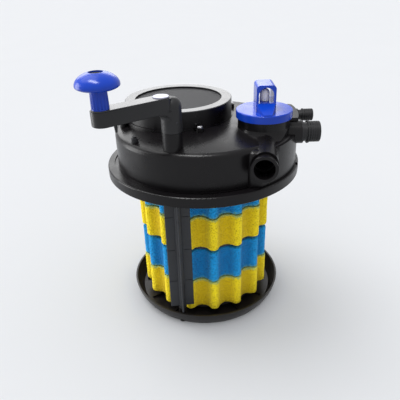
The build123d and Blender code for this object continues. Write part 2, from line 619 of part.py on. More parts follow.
def shaft_seal():
    return pipe(BUSH_R, SHAFT_R + RUN, Z_SHAFT_SEAL + SEAT, Z_SHAFT_SEAL + SEAL_HEIGHT, ROLLER_X, ROLLER_Y)


def seal_ring(gap, z0, z1):
    """Ring in the flange's underside, smaller all round by a gap."""
    return pipe(DOME_R + SEAL_MARGIN + SEAL_WIDTH - gap, DOME_R + SEAL_MARGIN + gap, z0, z1)


def head_seal():
    return seal_ring(SEAT, Z_FLANGE - SEAL_PROUD, Z_FLANGE + SEAL_DEPTH - SEAT)


def vent_screw():
    """Knurled bleed screw on the head's shoulder."""
    x, y = vent_point()
    z = Z_VENT
    screw = post(VENT_R, z, z + VENT_HEIGHT) + post(VENT_R * 0.62, z + VENT_HEIGHT, z + VENT_HEIGHT + 3)
    for i in range(10):
        cx, cy = at_bearing(VENT_R + 0.5, 36 * i)
        screw -= post(1.1, z + 1, z + VENT_HEIGHT + 1, cx, cy)
    return Pos(x, y, 0) * (screw + post(SCREW_R - SEAT, z - SCREW_LENGTH, z + 1))


# ---- drum and lamp ---------------------------------------------------------------------------
def drum_shell():
    top = Z_DRUM_TOP - TRIM_THICKNESS
    drum = post(DRUM_R, Z_DRUM + SEAT, top, DRUM_X, DRUM_Y)
    for x, y in drum_screw_points():
        drum += post(LUG_R, Z_DRUM + SEAT, Z_DRUM + LUG_THICKNESS, x, y)
    for i in range(DRUM_SCREWS):
        arm = Pos(DRUM_R - 2, 0, Z_DRUM + SEAT) * Box(LUG_REACH + 2, LUG_R * 2, LUG_THICKNESS - SEAT,
                                                      align=(Align.MIN, Align.CENTER, Align.MIN))
        drum += Pos(DRUM_X, DRUM_Y, 0) * Rot(0, 0, DRUM_SCREW_BEARING + 360 / DRUM_SCREWS * i) * arm
    drum -= post(DRUM_R - DRUM_WALL, Z_DRUM, top - DRUM_WALL - DRUM_RECESS, DRUM_X, DRUM_Y)
    drum -= post(DRUM_RECESS_R, top - DRUM_RECESS - COVER_PLATE, top + 1, DRUM_X, DRUM_Y)
    drum -= post(DRUM_RECESS_R - 7, Z_DRUM, top, DRUM_X, DRUM_Y)
    for x, y in drum_screw_points():
        drum -= post(SCREW_R + SEAT, Z_DRUM - 1, Z_DRUM_TOP, x, y)
    gland = rod(GLAND_R * 0.7 + SEAT, DRUM_R - DRUM_WALL - 4, DRUM_R + 8)
    return drum - aimed(gland, DRUM_X, DRUM_Y, GLAND_Z, GLAND_BEARING)


def drum_trim():
    top = Z_DRUM_TOP
    trim = pipe(DRUM_R - 0.8, DRUM_RECESS_R, top - TRIM_THICKNESS, top, DRUM_X, DRUM_Y)
    return fillet(rim_edges(trim, top, DRUM_R - 0.8), 0.8)


def drum_cover():
    top = Z_DRUM_TOP - TRIM_THICKNESS - DRUM_RECESS
    return post(DRUM_RECESS_R - SEAT, top - COVER_PLATE + SEAT, top, DRUM_X, DRUM_Y)


def screw(x, y, z):
    """Pan-head screw with a cross recess, head's underside at z."""
    body = post(SCREW_HEAD_R, z, z + SCREW_HEAD_HEIGHT)
    body = fillet(rim_edges(body, z + SCREW_HEAD_HEIGHT, SCREW_HEAD_R), 1.2)
    for turn in (0, 90):
        body -= Pos(0, 0, z + SCREW_HEAD_HEIGHT) * Rot(0, 0, turn) * Box(SCREW_HEAD_R, 1.0, 2.4)
    return Pos(x, y, 0) * (body + post(SCREW_R - SEAT, z - SCREW_LENGTH, z))


def lamp_holder():
    low = Z_CROWN - HEAD_WALL * 3
    holder = post(HOLDER_R, Z_CROWN, Z_CROWN + HOLDER_FLANGE)
    holder += post(HOLDER_NECK_R, Z_CROWN, Z_CROWN + HOLDER_HEIGHT)
    holder += post(HOLDER_SPIGOT_R, low, Z_CROWN + 1)
    return holder - post(QUARTZ_R + SEAT, low - 1, Z_CROWN + HOLDER_HEIGHT - HOLDER_FLANGE)


def quartz_sleeve():
    low = TRAY_FLOOR + QUARTZ_FOOT
    sleeve = post(QUARTZ_R, low, Z_CROWN + HOLDER_HEIGHT - HOLDER_FLANGE - 1)
    sleeve = fillet(rim_edges(sleeve, low, QUARTZ_R), QUARTZ_R * 0.6)
    return sleeve - post(QUARTZ_R - QUARTZ_WALL, low + QUARTZ_WALL * 5, Z_CROWN + HOLDER_HEIGHT)


def uv_lamp():
    low = TRAY_FLOOR + QUARTZ_FOOT + LAMP_FOOT
    lamp = post(LAMP_R, low, Z_CROWN + HOLDER_HEIGHT - HOLDER_FLANGE - 3)
    return fillet(rim_edges(lamp, low, LAMP_R), LAMP_R * 0.6)


def sleeve_nut():
    """Ring nut that clamps the quartz sleeve's holder to the crown."""
    nut = pipe(HOLDER_R + NUT_MARGIN, HOLDER_NECK_R + SEAT, Z_CROWN + HOLDER_FLANGE + SEAT,
               Z_CROWN + HOLDER_FLANGE + NUT_HEIGHT)
    for i in range(12):
        x, y = at_bearing(HOLDER_R + NUT_MARGIN + 1, 30 * i)
        nut -= post(2.2, Z_CROWN, Z_CROWN + HOLDER_HEIGHT, x, y)
    return nut


def ballast():
    x, y = at_bearing(BALLAST_OFFSET, BALLAST_BEARING, DRUM_X, DRUM_Y)
    box = Box(BALLAST_LENGTH, BALLAST_WIDTH, BALLAST_HEIGHT, align=BASE)
    box = fillet(box.edges().filter_by(Axis.Z), 3.0)
    return Pos(x, y, Z_CROWN + SEAT) * Rot(0, 0, BALLAST_BEARING - 90) * box


def cable_gland():
    gland = rod(GLAND_R, DRUM_R + SEAT, DRUM_R + 4) + rod(GLAND_R * 0.8, DRUM_R + 3, DRUM_R + GLAND_LENGTH)
    gland += rod(GLAND_R * 0.7, DRUM_R - DRUM_WALL - 3, DRUM_R + 1)
    gland -= rod(GLAND_BORE_R, DRUM_R - DRUM_WALL - 4, DRUM_R + GLAND_LENGTH + 1)
    return aimed(gland, DRUM_X, DRUM_Y, GLAND_Z, GLAND_BEARING)


# ---- crank and knob --------------------------------------------------------------------------
def along_arm(shape):
    """Put a shape drawn along +X from the pivot on the crank's bearing."""
    return Pos(ROLLER_X, ROLLER_Y, 0) * Rot(0, 0, CRANK_BEARING) * shape


def arm_bar(width, z0, z1):
    """Round-ended bar from beside the pivot to the knob."""
    middle = (ARM_START + CRANK_RADIUS) / 2
    return Pos(middle, 0, z0) * extrude(SlotCenterToCenter(CRANK_RADIUS - ARM_START, width), z1 - z0)


def arm_flare():
    """Hollow curve under the arm's root, as wide as the arm."""
    low = Z_ARM - FLARE_DROP
    far = SLEEVE_R + FLARE_REACH
    middle = (SLEEVE_R + FLARE_REACH * FLARE_BEND, Z_ARM - FLARE_DROP * FLARE_BEND)
    curve = ThreePointArc((SLEEVE_R, low), middle, (far, Z_ARM))
    outline = Polyline((far, Z_ARM), (far, Z_ARM + 2), (0, Z_ARM + 2), (0, low), (SLEEVE_R, low)) + curve
    flare = revolve(make_face(Plane.XZ * outline), Axis.Z)
    width = Box(far * 2, ARM_WIDTH - SEAT, FLARE_DROP * 2, align=(Align.MIN, Align.CENTER, Align.MIN))
    return flare & Pos(0, 0, low) * width


def crank_arm():
    top = Z_SLEEVE + SLEEVE_HEIGHT
    bar = arm_bar(ARM_WIDTH, Z_ARM, Z_ARM_TOP)
    bar = fillet(bar.faces().sort_by(Axis.Z)[0].edges(), 1.5)
    bar -= arm_bar(ARM_WIDTH - COVER_INSET * 2, Z_ARM_TOP - COVER_BED, Z_ARM_TOP + 1)
    sleeve = fillet(rim_edges(post(SLEEVE_R, Z_SLEEVE, top), top, SLEEVE_R), SLEEVE_ROUND)
    sleeve -= arm_bar(ARM_WIDTH, Z_ARM_TOP - COVER_BED, Z_ARM_TOP + 1)
    arm = bar + sleeve + arm_flare()
    peg = Cone(PEG_R, PEG_R / 2, PEG_LENGTH, align=BASE)
    arm += Pos(PEG_DISTANCE, -ARM_WIDTH * 0.18, Z_ARM) * Rot(180, 0, 0) * peg
    arm -= post(SHAFT_R + RUN, Z_SLEEVE - 1, top - SLEEVE_ROOF)
    arm -= post(SPINDLE_R + RUN, Z_ARM + SPINDLE_FLOOR, Z_COVER_TOP, CRANK_RADIUS)
    arm -= Pos(0, 0, Z_SLEEVE + PIN_HEIGHT) * Rot(0, 0, 90) * rod(PIN_R, -SLEEVE_R - 1, SLEEVE_R + 1)
    return along_arm(arm)


def arm_cover():
    """Light inlay plate on the arm's top."""
    cover = arm_bar(ARM_WIDTH - COVER_INSET * 2 - SEAT * 2, Z_ARM_TOP - COVER_BED + SEAT, Z_COVER_TOP)
    cover = fillet(cover.faces().sort_by(Axis.Z)[-1].edges(), 0.5)
    return along_arm(cover - post(SPINDLE_R + 1.2, Z_ARM, Z_COVER_TOP + 1, CRANK_RADIUS))


def hub_cap():
    cap = post(CAP_R, Z_COVER_TOP + SEAT, Z_COVER_TOP + CAP_THICKNESS, ARM_START)
    return along_arm(fillet(cap.faces().sort_by(Axis.Z)[-1].edges(), 0.8))


def sleeve_pin():
    pin = Pos(0, 0, Z_SLEEVE + PIN_HEIGHT) * Rot(0, 0, 90)
    inner, outer = SHAFT_R + RUN * 2, SLEEVE_R - 0.4
    return along_arm(pin * (rod(PIN_R - SEAT, inner, outer) + rod(PIN_R - SEAT, -outer, -inner)))


def knob_spindle():
    bed = Z_KNOB_TOP - PLUG_BED
    spindle = post(SPINDLE_R, Z_ARM + SPINDLE_FLOOR + SEAT, bed)
    spindle += post(SPINDLE_HEAD_R, bed, bed + SPINDLE_HEAD)
    return Pos(KNOB_X, KNOB_Y, 0) * spindle


def half_oval(height, z):
    """Upper (or, with a negative height, lower) half of an oval as wide as the knob, on its axis."""
    oval = Pos(0, z) * Ellipse(KNOB_R, abs(height))
    side = Align.MIN if height > 0 else Align.MAX
    return oval & Pos(0, z) * Rectangle(KNOB_R * 2, KNOB_R * 2, align=(Align.MIN, side))


def knob():
    """Mushroom knob on a fluted stem."""
    belly = Z_KNOB_CAP + KNOB_BELLY
    section = half_oval(KNOB_HEIGHT - KNOB_BELLY, belly) + half_oval(-KNOB_BELLY, belly)
    body = revolve(Plane.XZ * section, Axis.Z)
    stem = Cone(KNOB_STEM_R, KNOB_STEM_R - 0.8, KNOB_STEM_HEIGHT + KNOB_BELLY, align=BASE)
    stem = Pos(0, 0, Z_KNOB) * stem
    for i in range(KNOB_FLUTES):
        x, y = at_bearing(KNOB_STEM_R + 0.2, 360 / KNOB_FLUTES * i)
        stem -= post(FLUTE_R, Z_KNOB + 1.5, Z_KNOB_CAP + 1.5, x, y)
    body += stem
    body -= post(SPINDLE_R + RUN, Z_KNOB - 1, Z_KNOB_TOP - PLUG_BED + TURN)
    body -= post(PLUG_R, Z_KNOB_TOP - PLUG_BED - TURN, Z_KNOB_TOP + 2)
    return Pos(KNOB_X, KNOB_Y, 0) * body


def knob_plug():
    top = Z_KNOB_TOP - PLUG_SINK
    plug = post(PLUG_R - SEAT, Z_KNOB_TOP - PLUG_BED + SPINDLE_HEAD + TURN, top)
    return Pos(KNOB_X, KNOB_Y, 0) * (plug - Pos(0, 0, top + PLUG_R * 1.85) * Sphere(PLUG_R * 1.95))


# ---- valve and dial --------------------------------------------------------------------------
def valve_rotor():
    rotor = post(ROTOR_R, Z_ROTOR, Z_ROTOR_TOP) + post(STEM_R, Z_ROTOR_TOP - 1, Z_DIAL_TOP - 4)
    front = Rot(0, 0, 270 - FRONT_SWING) * Pos(0, 0, Z_FRONT)
    rotor -= front * rod(FRONT_BORE_R - DUCT_STEP, 0, ROTOR_R + 1)
    rotor -= Pos(0, 0, Z_SIDE) * rod(SIDE_BORE_R - DUCT_STEP, 0, ROTOR_R + 1)
    rotor -= post(CHANNEL_R, Z_ROTOR - 1, Z_SIDE + SIDE_BORE_R - ROTOR_LAND)
    return Pos(VALVE_X, VALVE_Y, 0) * rotor


def valve_cap():
    """Lid of the valve chamber, with the bore for the rotor's stem."""
    cap = post(CHAMBER_R - SEAT, Z_ROTOR_TOP + TURN, Z_NECK - 1) - post(STEM_R + 3, Z_NECK - 5, Z_NECK)
    return Pos(VALVE_X, VALVE_Y, 0) * (cap - post(STEM_R + RUN, Z_ROTOR_TOP, Z_NECK))


def stem_seal():
    return pipe(STEM_R + 3 - SEAT, STEM_R + RUN, Z_NECK - 5 + SEAT, Z_NECK - 1.5, VALVE_X, VALVE_Y)


def grip_nose():
    """Low ramp from the grip's tower down to the dial's edge."""
    near = -DIAL_R + 1.5
    far = -GRIP_LENGTH / 2 + 2
    side = Polyline((near, 0), (far, 0), (far, GRIP_NOSE_RISE), (near, 2.2), close=True)
    ramp = extrude(make_face(Plane.YZ * side), GRIP_WIDTH / 2, both=True)
    half, tip = GRIP_WIDTH / 2, GRIP_NOSE_WIDTH / 2
    plan = make_face(Polyline((-half, far), (half, far), (tip, near), (-tip, near), close=True))
    return ramp & extrude(plan, GRIP_NOSE_RISE + 1)


def dial():
    disc = post(DIAL_R, Z_DIAL, Z_DIAL_TOP)
    disc = fillet(rim_edges(disc, Z_DIAL_TOP, DIAL_R), 1.6)
    disc -= pipe(DIAL_R - DIAL_SKIRT_WALL, STEM_R + 5, Z_DIAL - 1, Z_DIAL_TOP - 3)
    arch = RectangleRounded(GRIP_WIDTH, GRIP_HEIGHT * 2, 6)
    window = SlotOverall(GRIP_HEIGHT * 0.95, GRIP_WIDTH - GRIP_WALL * 2, rotation=90)
    tower = extrude(Plane.XZ * arch, GRIP_LENGTH / 2, both=True) & Box(60, 60, GRIP_HEIGHT * 2, align=BASE)
    low = Pos(0, 0, GRIP_NOSE_RISE) * Box(60, 60, GRIP_HEIGHT * 2, align=BASE)
    hole = extrude(Plane.XZ * Pos(0, GRIP_HEIGHT * 0.44) * window, GRIP_LENGTH, both=True) & low
    nose = grip_nose()
    grip = tower - hole + nose + Rot(0, 0, 180) * nose
    disc += Pos(0, 0, Z_DIAL_TOP - 0.5) * grip
    disc -= post(STEM_R + RUN, Z_DIAL - 1, Z_DIAL_TOP - 4)
    return Pos(VALVE_X, VALVE_Y, 0) * disc


def indicator_lens():
    low = Z_DIAL_TOP + GRIP_NOSE_RISE - 0.5 + SEAT
    high = low + LENS_HEIGHT
    bulb = post(LENS_R, low, high) + Pos(0, 0, high) * Sphere(LENS_R)
    return Pos(VALVE_X, VALVE_Y, 0) * bulb


# ---- ports -----------------------------------------------------------------------------------
def front_port():
    """Plain hose socket with a collar at its mouth."""
    end = front_reach()
    outer = FRONT_BORE_R + FRONT_WALL
    tube = rod(outer, end - FRONT_REACH - FRONT_ROOT, end) + rod(outer + FRONT_COLLAR, end - 5, end)
    tube -= rod(FRONT_BORE_R, 0, end + 1)
    return aimed(tube, VALVE_X, VALVE_Y, Z_FRONT, 270 - FRONT_SWING)


def hose_tail(bore, wall, reach, collar):
    """Hose tail along +X with a ring and a ribbed end; its foot's face is at x = 0."""
    outer = bore + wall
    end_r = outer + TAIL_END_RISE
    tail = rod(outer, -PORT_ROOT, reach) + rod(outer + collar, 0, 2.5)
    tail += rod(outer + collar, TAIL_RING_START, TAIL_RING_START + TAIL_RING_WIDTH)
    thick = rod(end_r, TAIL_END_START, reach)
    tail += fillet(thick.edges().filter_by(GeomType.CIRCLE).sort_by(Axis.X)[-1], 1.5)
    start = TAIL_END_START + RIDGE_STEP - RIDGE_GAP
    while start < reach - RIDGE_STEP:
        tail -= rod(end_r + 1, start, start + RIDGE_GAP) - rod(end_r - RIDGE_DEPTH, 0, reach)
        start += RIDGE_STEP
    return tail - rod(bore, -PORT_ROOT - 1, reach + 1)


def side_port():
    return Pos(SIDE_FACE, VALVE_Y, Z_SIDE) * hose_tail(SIDE_BORE_R, SIDE_WALL, SIDE_REACH, SIDE_COLLAR)


def drain_port():
    face = side_face(DRAIN_Y) + SEAT
    return Pos(face, DRAIN_Y, Z_DRAIN) * hose_tail(DRAIN_BORE_R, DRAIN_WALL, DRAIN_REACH, 2.0)


# ---- every piece, by name --------------------------------------------------------------------
pieces = {
    "base_tray": base_tray(),
    "thrust_washer": pipe(SEAT_RING_R - 1, SPIGOT_R + 1, Z_SEAT, Z_SEAT + WASHER_THICKNESS),
    "pivot_bush_lower": pivot_bush(Z_PIVOT_BOSS, PIVOT_DEPTH),
    "centre_tube": centre_tube(),
    "carrier_plate": drilled_plate(PLATE_R, PLATE_BORE_R, Z_PLATE, PLATE_THICKNESS),
    "core_tube": core_tube(),
    "foam_ring_1_yellow": foam_ring(Z_FOAM_1, 0),
    "foam_ring_2_blue": foam_ring(Z_FOAM_2, BLUE_INSET),
    "foam_ring_3_yellow": foam_ring(Z_FOAM_3, 0),
    "foam_ring_4_blue": foam_ring(Z_FOAM_4, BLUE_INSET),
    "foam_divider": drilled_plate(PLATE_R, CORE_R + SEAT, Z_DIVIDER, DIVIDER_THICKNESS),
    "clamp_plate": drilled_plate(PLATE_R, PLATE_BORE_R, Z_CLAMP, CLAMP_THICKNESS),
    "bearing_spider": bearing_spider(),
    "squeeze_roller": squeeze_roller(),
    "roller_shaft": roller_shaft(),
    "pivot_bush_upper": pivot_bush(Z_BOSS - BUSH_SINK, 12),
    "shaft_seal": shaft_seal(),
    "head_shell": head_shell(),
    "head_seal": head_seal(),
    "vent_screw": vent_screw(),
    "drum_shell": drum_shell(),
    "drum_trim": drum_trim(),
    "drum_cover": drum_cover(),
    "drum_screws": Compound(children=[screw(x, y, Z_DRUM + LUG_THICKNESS) for x, y in drum_screw_points()]),
    "lamp_holder": lamp_holder(),
    "sleeve_nut": sleeve_nut(),
    "quartz_sleeve": quartz_sleeve(),
    "uv_lamp": uv_lamp(),
    "ballast": ballast(),
    "cable_gland": cable_gland(),
    "crank_arm": crank_arm(),
    "arm_cover": arm_cover(),
    "hub_cap": hub_cap(),
    "sleeve_pin": sleeve_pin(),
    "knob_spindle": knob_spindle(),
    "knob": knob(),
    "knob_plug": knob_plug(),
    "valve_rotor": valve_rotor(),
    "valve_cap": valve_cap(),
    "stem_seal": stem_seal(),
    "dial": dial(),
    "indicator_lens": indicator_lens(),
    "front_port": front_port(),
    "side_port": side_port(),
    "drain_port": drain_port(),
}

os.makedirs("parts", exist_ok=True)
for name, piece in pieces.items():
    export_step(piece, f"parts/{name}.step")
    print(name, round(piece.volume / 1000, 1), "cm3", len(piece.solids()), "solid(s)")
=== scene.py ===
import json
import math

import bpy
import numpy as np
from mathutils import Matrix, Vector, noise

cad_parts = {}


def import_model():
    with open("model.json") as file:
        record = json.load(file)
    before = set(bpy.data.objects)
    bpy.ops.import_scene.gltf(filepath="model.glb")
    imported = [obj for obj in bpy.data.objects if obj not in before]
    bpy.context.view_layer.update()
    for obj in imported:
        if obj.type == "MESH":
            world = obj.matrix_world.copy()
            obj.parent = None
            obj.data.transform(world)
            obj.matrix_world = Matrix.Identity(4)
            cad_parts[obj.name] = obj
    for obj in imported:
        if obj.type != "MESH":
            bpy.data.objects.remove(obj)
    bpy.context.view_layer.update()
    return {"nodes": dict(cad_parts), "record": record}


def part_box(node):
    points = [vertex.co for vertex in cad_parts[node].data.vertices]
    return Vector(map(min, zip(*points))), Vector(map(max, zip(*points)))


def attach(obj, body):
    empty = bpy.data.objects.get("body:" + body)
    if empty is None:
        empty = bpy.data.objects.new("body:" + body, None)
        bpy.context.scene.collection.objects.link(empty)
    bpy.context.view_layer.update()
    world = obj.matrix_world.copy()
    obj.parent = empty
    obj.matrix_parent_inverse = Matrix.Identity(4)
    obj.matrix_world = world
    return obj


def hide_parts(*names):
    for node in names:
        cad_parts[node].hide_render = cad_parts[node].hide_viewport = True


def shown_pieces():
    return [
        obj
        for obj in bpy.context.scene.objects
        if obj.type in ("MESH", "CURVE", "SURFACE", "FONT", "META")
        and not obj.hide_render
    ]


# Looks of a pond filter's insert: head, crank, dial, ports, foam stack, squeeze roller and tray.
# Metres, +Z up, in the frame of the CAD model. Foam is rebuilt here; every other piece keeps its
# CAD shape and gets a procedural material.

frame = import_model()
nodes = frame["nodes"]

# ---- camera and studio --------------------------------------------------------------------
CAMERA_PLACE = (0.0, -0.7328, 0.5720)
CAMERA_PITCH = 27.72       # degrees below the horizon
CAMERA_YAW = -0.86         # degrees from +Y, positive towards +X
CAMERA_ROLL = -2.01        # degrees
CAMERA_LENS = 40.14        # mm on a 36 mm sensor
CAMERA_SHIFT = 0.005       # off-centre framing, right and down

WORLD_LIGHT = 0.86
WORLD_TINT = (0.97, 0.98, 1.0)
SUN_LIGHT = 0.85
SUN_PLACE = (-1.1, 0.8, 2.4)
SUN_ANGLE = 45             # degrees across, which keeps its shadow soft
FLOOR_SIZE = 60.0

# ---- foam -----------------------------------------------------------------------------------
FOAM_BEARINGS = 448        # points round a ring
FOAM_LEVELS = 22           # rows up a ring's outer wall
FOAM_CAP_ROWS = 6          # rows across its upper and lower faces
FOAM_CORNER_ROWS = 4
FOAM_FREE_EDGE = 0.0028    # rounding where a ring's edge is free
FOAM_JOINT_EDGE = 0.0010   # rounding where two rings touch
FOAM_SWELL = 0.0007        # slow unevenness of cut foam
FOAM_GRIT = 0.0009         # torn cells at the surface
FOAM_SWELL_SCALE = 55      # swells and torn cells in a metre
FOAM_GRIT_SCALE = 260
GROOVE_SHADE = 0.72        # share of painted shade, a deeper colour, at the bottom of a groove
GROOVE_LOW = 0.002         # a groove's painted shade starts this far out from its bottom
GROOVE_HIGH = 0.001        # and has gone this far in from the top of a lobe
FLECK_COVER = 0.70         # share of the stray colour at a joint between two rings
FLECK_REACH = 0.0060       # how far from a joint its flecks fade out
FLECK_DRIFT = 0.0035       # how far their edge wanders up and down
SAME_LEVEL = 1e-5          # points nearer than this in height lie on one face


def camera():
    """Camera at the photograph's viewing angle."""
    pitch, yaw, roll = (math.radians(a) for a in (CAMERA_PITCH, CAMERA_YAW, CAMERA_ROLL))
    ahead = Vector((math.sin(yaw) * math.cos(pitch), math.cos(yaw) * math.cos(pitch), -math.sin(pitch)))
    level = Vector((math.cos(yaw), -math.sin(yaw), 0))
    upward = level.cross(ahead)
    right = level * math.cos(roll) + upward * math.sin(roll)
    up = upward * math.cos(roll) - level * math.sin(roll)
    data = bpy.data.cameras.new("camera")
    data.lens = CAMERA_LENS
    data.sensor_width = 36
    data.shift_x = CAMERA_SHIFT
    data.shift_y = -CAMERA_SHIFT
    data.clip_end = 200
    eye = bpy.data.objects.new("camera", data)
    bpy.context.scene.collection.objects.link(eye)
    turn = Matrix((right, up, -ahead)).transposed().to_4x4()
    eye.matrix_world = Matrix.Translation(CAMERA_PLACE) @ turn
    bpy.context.scene.camera = eye


# ---- node helpers ---------------------------------------------------------------------------
class Surface:
    """A node material built round one Principled shader, in the object's own coordinates."""

    def __init__(self, name, color, roughness, **constants):
        self.material = bpy.data.materials.new(name)
        self.material.use_nodes = True
        self.tree = self.material.node_tree
        self.shader = self.tree.nodes["Principled BSDF"]
        self.shader.inputs["Base Color"].default_value = (*color, 1)
        self.shader.inputs["Roughness"].default_value = roughness
        for socket, value in constants.items():
            self.shader.inputs[socket.replace("_", " ")].default_value = value
        self.place = self.tree.nodes.new("ShaderNodeTexCoord").outputs["Object"]

    def link(self, source, target):
        self.tree.links.new(source, target)

    def stretched(self, scale):
        """The object's coordinates, scaled by a vector."""
        mapping = self.tree.nodes.new("ShaderNodeMapping")
        mapping.inputs["Scale"].default_value = scale
        self.link(self.place, mapping.inputs["Vector"])
        return mapping.outputs["Vector"]

    def noise(self, scale, detail=3.0, roughness=0.55, place=None):
        """Noise with about scale features in a metre."""
        texture = self.tree.nodes.new("ShaderNodeTexNoise")
        texture.inputs["Scale"].default_value = scale
        texture.inputs["Detail"].default_value = detail
        texture.inputs["Roughness"].default_value = roughness
        self.link(place or self.place, texture.inputs["Vector"])
        return texture.outputs["Fac"]

    def cells(self, scale, feature="F1"):
        """Distance in a field of random cells."""
        texture = self.tree.nodes.new("ShaderNodeTexVoronoi")
        texture.feature = feature
        texture.inputs["Scale"].default_value = scale
        self.link(self.place, texture.inputs["Vector"])
        return texture.outputs["Distance"]

    def remap(self, value, low, high, new_low, new_high):
        """A value's range turned into another range, held at both ends."""
        node = self.tree.nodes.new("ShaderNodeMapRange")
        node.inputs["From Min"].default_value = low
        node.inputs["From Max"].default_value = high
        node.inputs["To Min"].default_value = new_low
        node.inputs["To Max"].default_value = new_high
        self.link(value, node.inputs["Value"])
        return node.outputs["Result"]

    def ramp(self, value, *stops):
        """Colour by value; stops are (position, colour)."""
        node = self.tree.nodes.new("ShaderNodeValToRGB")
        elements = node.color_ramp.elements
        for spare in list(elements)[len(stops):]:
            elements.remove(spare)
        while len(elements) < len(stops):
            elements.new(1)
        for element, (position, color) in zip(elements, stops):
            element.position = position
            element.color = (*color, 1)
        self.link(value, node.inputs["Fac"])
        return node.outputs["Color"]

    def blend(self, factor, first, second, mode="MIX"):
        """Mix of two colours, each a socket."""
        node = self.tree.nodes.new("ShaderNodeMix")
        node.data_type = "RGBA"
        node.blend_type = mode
        self.link(factor, node.inputs["Factor"])
        self.link(first, node.inputs[6])
        self.link(second, node.inputs[7])
        return node.outputs[2]

    def constant(self, color):
        """One even colour as a socket."""
        node = self.tree.nodes.new("ShaderNodeRGB")
        node.outputs["Color"].default_value = (*color, 1)
        return node.outputs["Color"]

    def math(self, operation, first, second=0.0):
        """One arithmetic step on a socket and a socket or number."""
        node = self.tree.nodes.new("ShaderNodeMath")
        node.operation = operation
        self.link(first, node.inputs[0])
        if isinstance(second, float):
            node.inputs[1].default_value = second
        else:
            self.link(second, node.inputs[1])
        return node.outputs["Value"]

    def sum(self, first, second):
        return self.math("ADD", first, second)

    def reach(self):
        """Distance from the object's upright axis."""
        node = self.tree.nodes.new("ShaderNodeVectorMath")
        node.operation = "LENGTH"
        self.link(self.stretched((1, 1, 0)), node.inputs[0])
        return node.outputs["Value"]

    def nearest(self, heights):
        """Distance to the nearest of a few heights."""
        split = self.tree.nodes.new("ShaderNodeSeparateXYZ")
        self.link(self.place, split.inputs["Vector"])
        gaps = [self.math("ABSOLUTE", self.math("SUBTRACT", split.outputs["Z"], h)) for h in heights]
        least = gaps[0]
        for gap in gaps[1:]:
            least = self.math("MINIMUM", least, gap)
        return least

    def color(self, socket):
        self.link(socket, self.shader.inputs["Base Color"])

    def roughness(self, socket):
        self.link(socket, self.shader.inputs["Roughness"])

    def bump(self, height, strength, distance, under=None):
        """Relief from a height, on top of another bump's normal where one is given."""
        node = self.tree.nodes.new("ShaderNodeBump")
        node.inputs["Strength"].default_value = strength
        node.inputs["Distance"].default_value = distance
        self.link(height, node.inputs["Height"])
        if under is not None:
            self.link(under, node.inputs["Normal"])
        self.link(node.outputs["Normal"], self.shader.inputs["Normal"])
        return node.outputs["Normal"]


def shade(color, factor):
    """A darker or lighter shade of a colour."""
    return tuple(min(1.0, c * factor) for c in color)


def foam_radii():
    """Distance from the axis to the bottom of a CAD ring's grooves and to the top of its lobes."""
    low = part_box("foam_ring_1_yellow")[0][2]
    points = np.array([v.co for v in nodes["foam_ring_1_yellow"].data.vertices])
    reach = np.hypot(points[:, 0], points[:, 1])[np.abs(points[:, 2] - low) < SAME_LEVEL]
    outer = reach[reach > (reach.min() + reach.max()) / 2]
    return float(outer.min()), float(outer.max())


FOAM_ROOT, FOAM_TIP = foam_radii()
FOAM_JOINTS = [float(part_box(name)[1][2]) for name in ("foam_ring_1_yellow", "foam_ring_3_yellow")]


# ---- materials ------------------------------------------------------------------------------
def moulded(name, color, roughness, grain=900, grain_depth=0.00004, spread=0.05, **constants):
    """Injection-moulded plastic: flow marks, slight dulling and a fine grain."""
    surface = Surface(name, color, roughness, **constants)
    flow = surface.noise(14, detail=4)
    surface.color(surface.ramp(flow, (0.25, shade(color, 0.86)), (0.75, shade(color, 1.16))))
    dulling = surface.noise(38, detail=5, roughness=0.6)
    surface.roughness(surface.remap(dulling, 0.3, 0.7, roughness - spread, roughness + spread))
    waves = surface.bump(surface.noise(16, detail=0), 0.15, 0.00012)
    surface.bump(surface.noise(grain, detail=2), 0.35, grain_depth, under=waves)
    return surface.material


def eroded(name, color, roughness):
    """Plastic with a coarse spark-eroded texture."""
    surface = Surface(name, color, roughness, Specular_IOR_Level=0.22)
    grit = surface.noise(1100, detail=4, roughness=0.7)
    surface.color(surface.ramp(grit, (0.35, shade(color, 0.55)), (0.68, shade(color, 1.5))))
    surface.roughness(surface.remap(grit, 0.3, 0.7, roughness - 0.1, roughness + 0.1))
    surface.bump(grit, 0.8, 0.0003)
    return surface.material


def foam(name, light, deep, stray, cell, pore):
    """Open-cell foam: cell pores in a metre, darker than the struts between them by the factor pore.

    The grooves get painted shade, a deeper colour towards their bottom, and flecks of the ring beside it
    cling along a joint.
    """
    surface = Surface(name, light, 0.92, Sheen_Weight=0.08, Sheen_Roughness=0.6, Specular_IOR_Level=0.1)
    pores = surface.cells(cell)
    fine = surface.noise(cell * 1.9, detail=3, roughness=0.7)
    patches = surface.noise(28, detail=3)
    struts = surface.ramp(pores, (0.12, shade(deep, pore)), (0.46, shade(light, 1.05)))
    worn = surface.ramp(patches, (0.3, deep), (0.7, light))
    cut = surface.blend(surface.remap(fine, 0.3, 0.7, 0.40, 1.0), worn, struts)
    # painted shade: the colour turns deeper towards the bottom of each groove, where shade falls between
    # the lobes, and fades out towards the lobes' tops
    bottom, top = FOAM_ROOT + GROOVE_LOW, FOAM_TIP - GROOVE_HIGH
    groove_painted_shade = surface.remap(surface.reach(), bottom, top, GROOVE_SHADE, 0.0)
    shaded = surface.blend(groove_painted_shade, cut, surface.constant(shade(deep, 0.72)))
    edge = surface.noise(190, detail=4, roughness=0.7)
    drift = surface.remap(edge, 0.3, 0.7, FLECK_DRIFT, -FLECK_DRIFT)
    away = surface.sum(surface.nearest(FOAM_JOINTS), drift)
    fleck = surface.remap(away, 0.0, FLECK_REACH, FLECK_COVER, 0.0)
    surface.color(surface.blend(fleck, shaded, surface.constant(stray)))
    ragged = surface.bump(fine, 0.55, 0.0008)
    surface.bump(pores, 0.9, 0.0018, under=ragged)
    return surface.material


